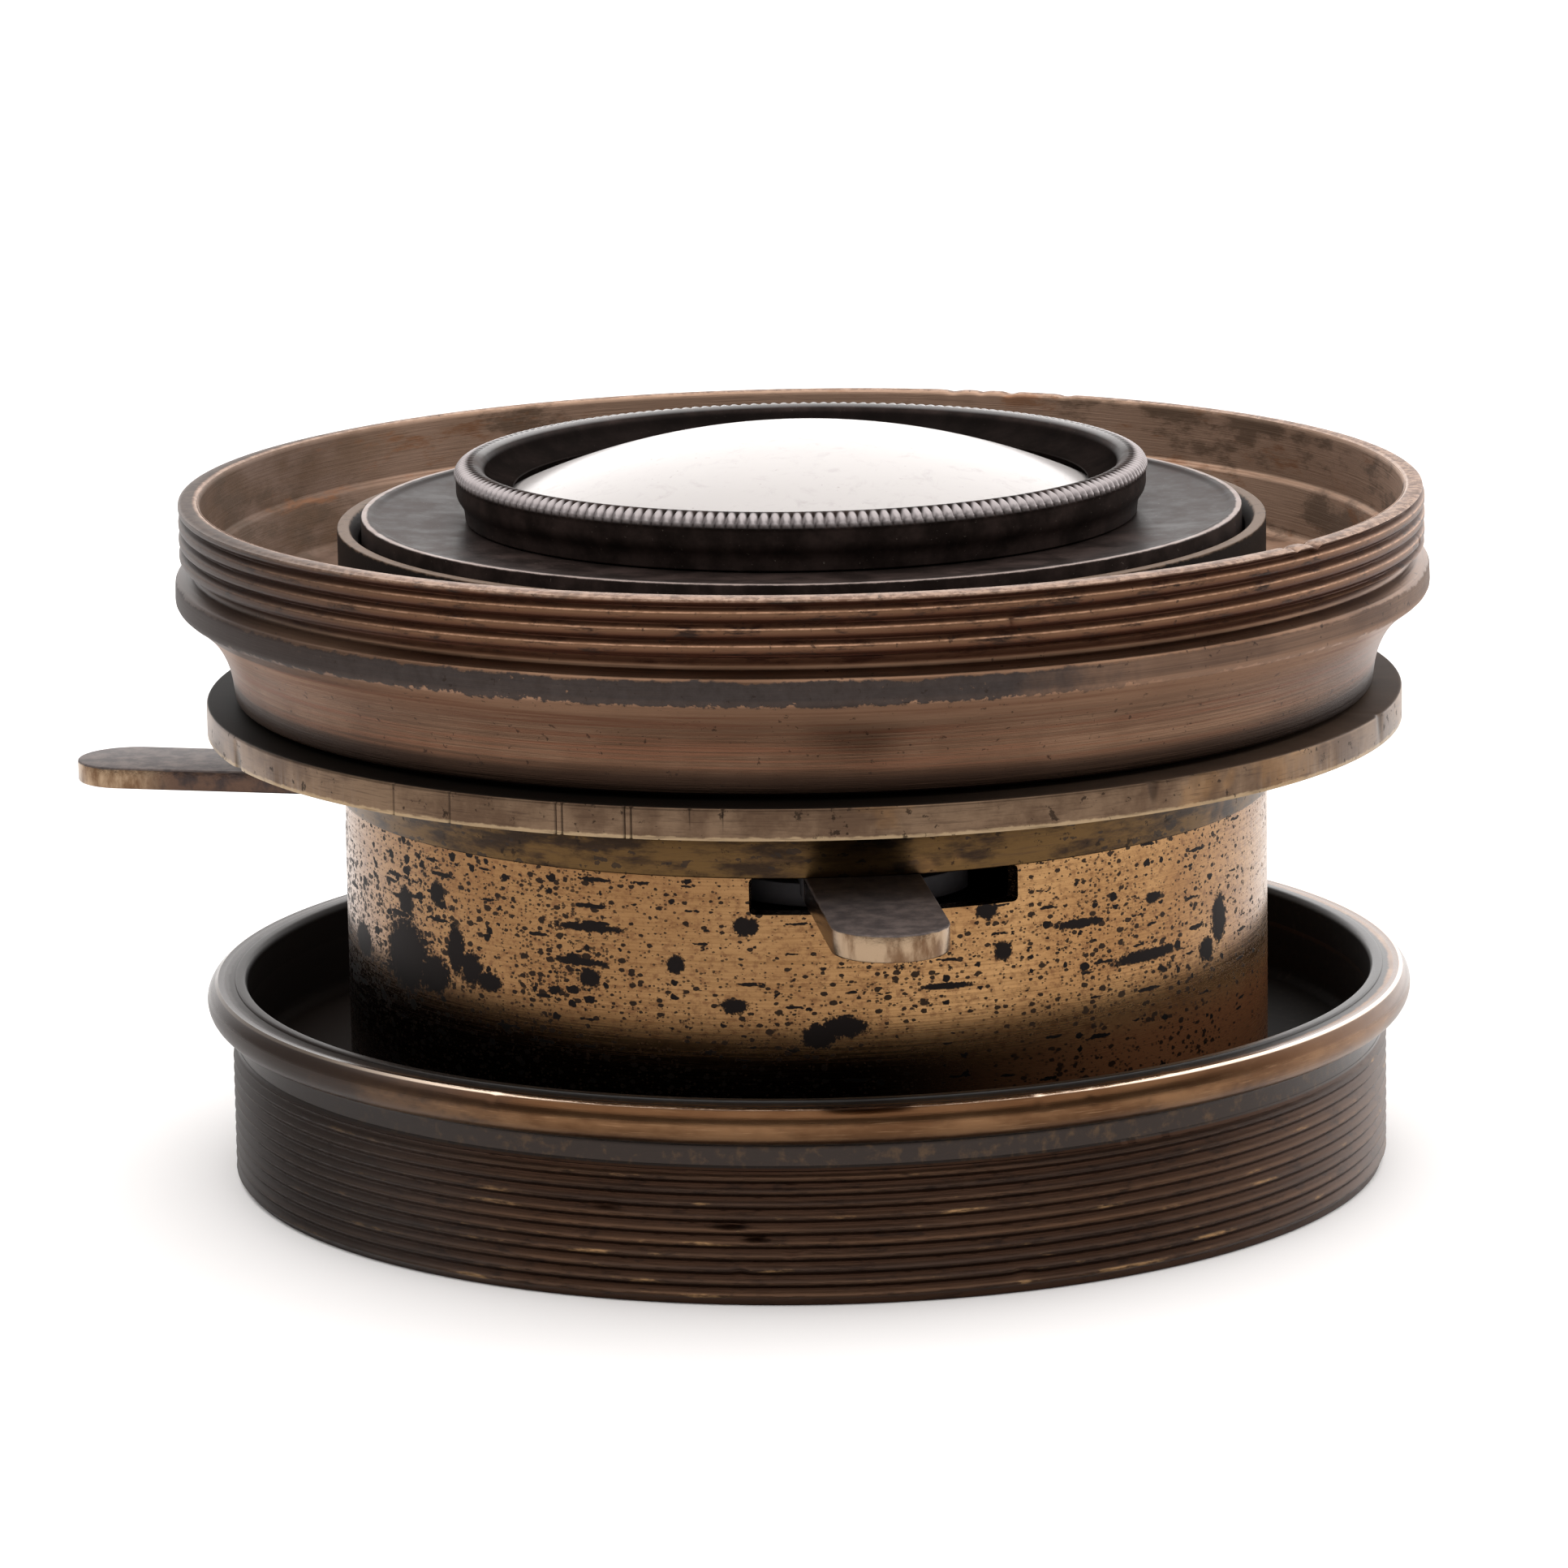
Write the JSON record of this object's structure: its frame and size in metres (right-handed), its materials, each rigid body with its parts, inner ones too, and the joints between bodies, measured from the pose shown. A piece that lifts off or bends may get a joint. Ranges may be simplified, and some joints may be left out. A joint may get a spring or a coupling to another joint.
{
  "type": "brass portrait lens",
  "caption": "Portrait lens in a brass barrel with a threaded front collar, a threaded rear mounting cup and an iris worked by two levers.",
  "frame": {"origin": "on the optical axis at the lens's centre of volume, 24.9 mm above the lower edge of the rear cup that it stands on", "axes": "+Z along the optical axis from the rear cup to the front glass; -Y is the side that the front lever points to; +X is to the right seen from there"},
  "size_m": [0.0913, 0.0894, 0.0496],
  "materials": {
    "aged_brass": "worn, spotted with black tarnish",
    "dark_brass": "dull, grey-brown",
    "lever_brass": "blackened top, bright worn ends",
    "brown_bronze": "brown lacquer, fine turning lines",
    "dark_bronze": "dark, with worn thread crests",
    "black_lacquer": "semi-gloss black, worn at the edges",
    "blackened_steel": "blued, matte",
    "optical_glass": "polished, uncoated"
  },
  "bodies": {
    "mount": {"barrel": "aged_brass", "index_flange": "dark_brass", "front_collar": "brown_bronze", "rear_cup": "dark_bronze", "front_cell": "black_lacquer", "front_retaining_ring": "black_lacquer", "front_crown_glass": "optical_glass", "front_flint_glass": "optical_glass", "rear_cell": "black_lacquer", "rear_flint_glass": "optical_glass", "rear_spacer_ring": "black_lacquer", "rear_crown_glass": "optical_glass", "rear_retaining_ring": "black_lacquer", "iris_base_plate": "black_lacquer", "iris_cover_ring": "black_lacquer"},
    "iris_ring": {"iris_control_ring": "blackened_steel", "front_lever": "lever_brass", "side_lever": "lever_brass", "lever_screw_1": "blackened_steel", "lever_screw_2": "blackened_steel", "lever_screw_3": "blackened_steel", "lever_screw_4": "blackened_steel"},
    "leaf_01": {"iris_blade_01": "blackened_steel"},
    "leaf_02": {"iris_blade_02": "blackened_steel"},
    "leaf_03": {"iris_blade_03": "blackened_steel"},
    "leaf_04": {"iris_blade_04": "blackened_steel"},
    "leaf_05": {"iris_blade_05": "blackened_steel"},
    "leaf_06": {"iris_blade_06": "blackened_steel"},
    "leaf_07": {"iris_blade_07": "blackened_steel"},
    "leaf_08": {"iris_blade_08": "blackened_steel"},
    "leaf_09": {"iris_blade_09": "blackened_steel"},
    "leaf_10": {"iris_blade_10": "blackened_steel"},
    "leaf_11": {"iris_blade_11": "blackened_steel"},
    "leaf_12": {"iris_blade_12": "blackened_steel"}
  },
  "joints": [
    {"name": "iris_turn", "type": "hinge", "parent": "mount", "child": "iris_ring", "pos_m": [0, 0, 0], "axis": [0, 0, 1], "range_deg": [-6, 8]},
    {"name": "leaf_01_swing", "type": "hinge", "parent": "mount", "child": "leaf_01", "pos_m": [0.0276, 0, 0], "axis": [0, 0, 1], "range_deg": [-18, 13.5]},
    {"name": "leaf_02_swing", "type": "hinge", "parent": "mount", "child": "leaf_02", "pos_m": [0.0239, 0.0138, 0], "axis": [0, 0, 1], "range_deg": [-18, 13.5]},
    {"name": "leaf_03_swing", "type": "hinge", "parent": "mount", "child": "leaf_03", "pos_m": [0.0138, 0.0239, 0], "axis": [0, 0, 1], "range_deg": [-18, 13.5]},
    {"name": "leaf_04_swing", "type": "hinge", "parent": "mount", "child": "leaf_04", "pos_m": [0, 0.0276, 0], "axis": [0, 0, 1], "range_deg": [-18, 13.5]},
    {"name": "leaf_05_swing", "type": "hinge", "parent": "mount", "child": "leaf_05", "pos_m": [-0.0138, 0.0239, 0], "axis": [0, 0, 1], "range_deg": [-18, 13.5]},
    {"name": "leaf_06_swing", "type": "hinge", "parent": "mount", "child": "leaf_06", "pos_m": [-0.0239, 0.0138, 0], "axis": [0, 0, 1], "range_deg": [-18, 13.5]},
    {"name": "leaf_07_swing", "type": "hinge", "parent": "mount", "child": "leaf_07", "pos_m": [-0.0276, 0, 0], "axis": [0, 0, 1], "range_deg": [-18, 13.5]},
    {"name": "leaf_08_swing", "type": "hinge", "parent": "mount", "child": "leaf_08", "pos_m": [-0.0239, -0.0138, 0], "axis": [0, 0, 1], "range_deg": [-18, 13.5]},
    {"name": "leaf_09_swing", "type": "hinge", "parent": "mount", "child": "leaf_09", "pos_m": [-0.0138, -0.0239, 0], "axis": [0, 0, 1], "range_deg": [-18, 13.5]},
    {"name": "leaf_10_swing", "type": "hinge", "parent": "mount", "child": "leaf_10", "pos_m": [0, -0.0276, 0], "axis": [0, 0, 1], "range_deg": [-18, 13.5]},
    {"name": "leaf_11_swing", "type": "hinge", "parent": "mount", "child": "leaf_11", "pos_m": [0.0138, -0.0239, 0], "axis": [0, 0, 1], "range_deg": [-18, 13.5]},
    {"name": "leaf_12_swing", "type": "hinge", "parent": "mount", "child": "leaf_12", "pos_m": [0.0239, -0.0138, 0], "axis": [0, 0, 1], "range_deg": [-18, 13.5]}
  ],
  "couplings": [
    {"joint": "leaf_01_swing", "follows": "iris_turn", "ratio": -2.25},
    {"joint": "leaf_02_swing", "follows": "iris_turn", "ratio": -2.25},
    {"joint": "leaf_03_swing", "follows": "iris_turn", "ratio": -2.25},
    {"joint": "leaf_04_swing", "follows": "iris_turn", "ratio": -2.25},
    {"joint": "leaf_05_swing", "follows": "iris_turn", "ratio": -2.25},
    {"joint": "leaf_06_swing", "follows": "iris_turn", "ratio": -2.25},
    {"joint": "leaf_07_swing", "follows": "iris_turn", "ratio": -2.25},
    {"joint": "leaf_08_swing", "follows": "iris_turn", "ratio": -2.25},
    {"joint": "leaf_09_swing", "follows": "iris_turn", "ratio": -2.25},
    {"joint": "leaf_10_swing", "follows": "iris_turn", "ratio": -2.25},
    {"joint": "leaf_11_swing", "follows": "iris_turn", "ratio": -2.25},
    {"joint": "leaf_12_swing", "follows": "iris_turn", "ratio": -2.25}
  ]
}
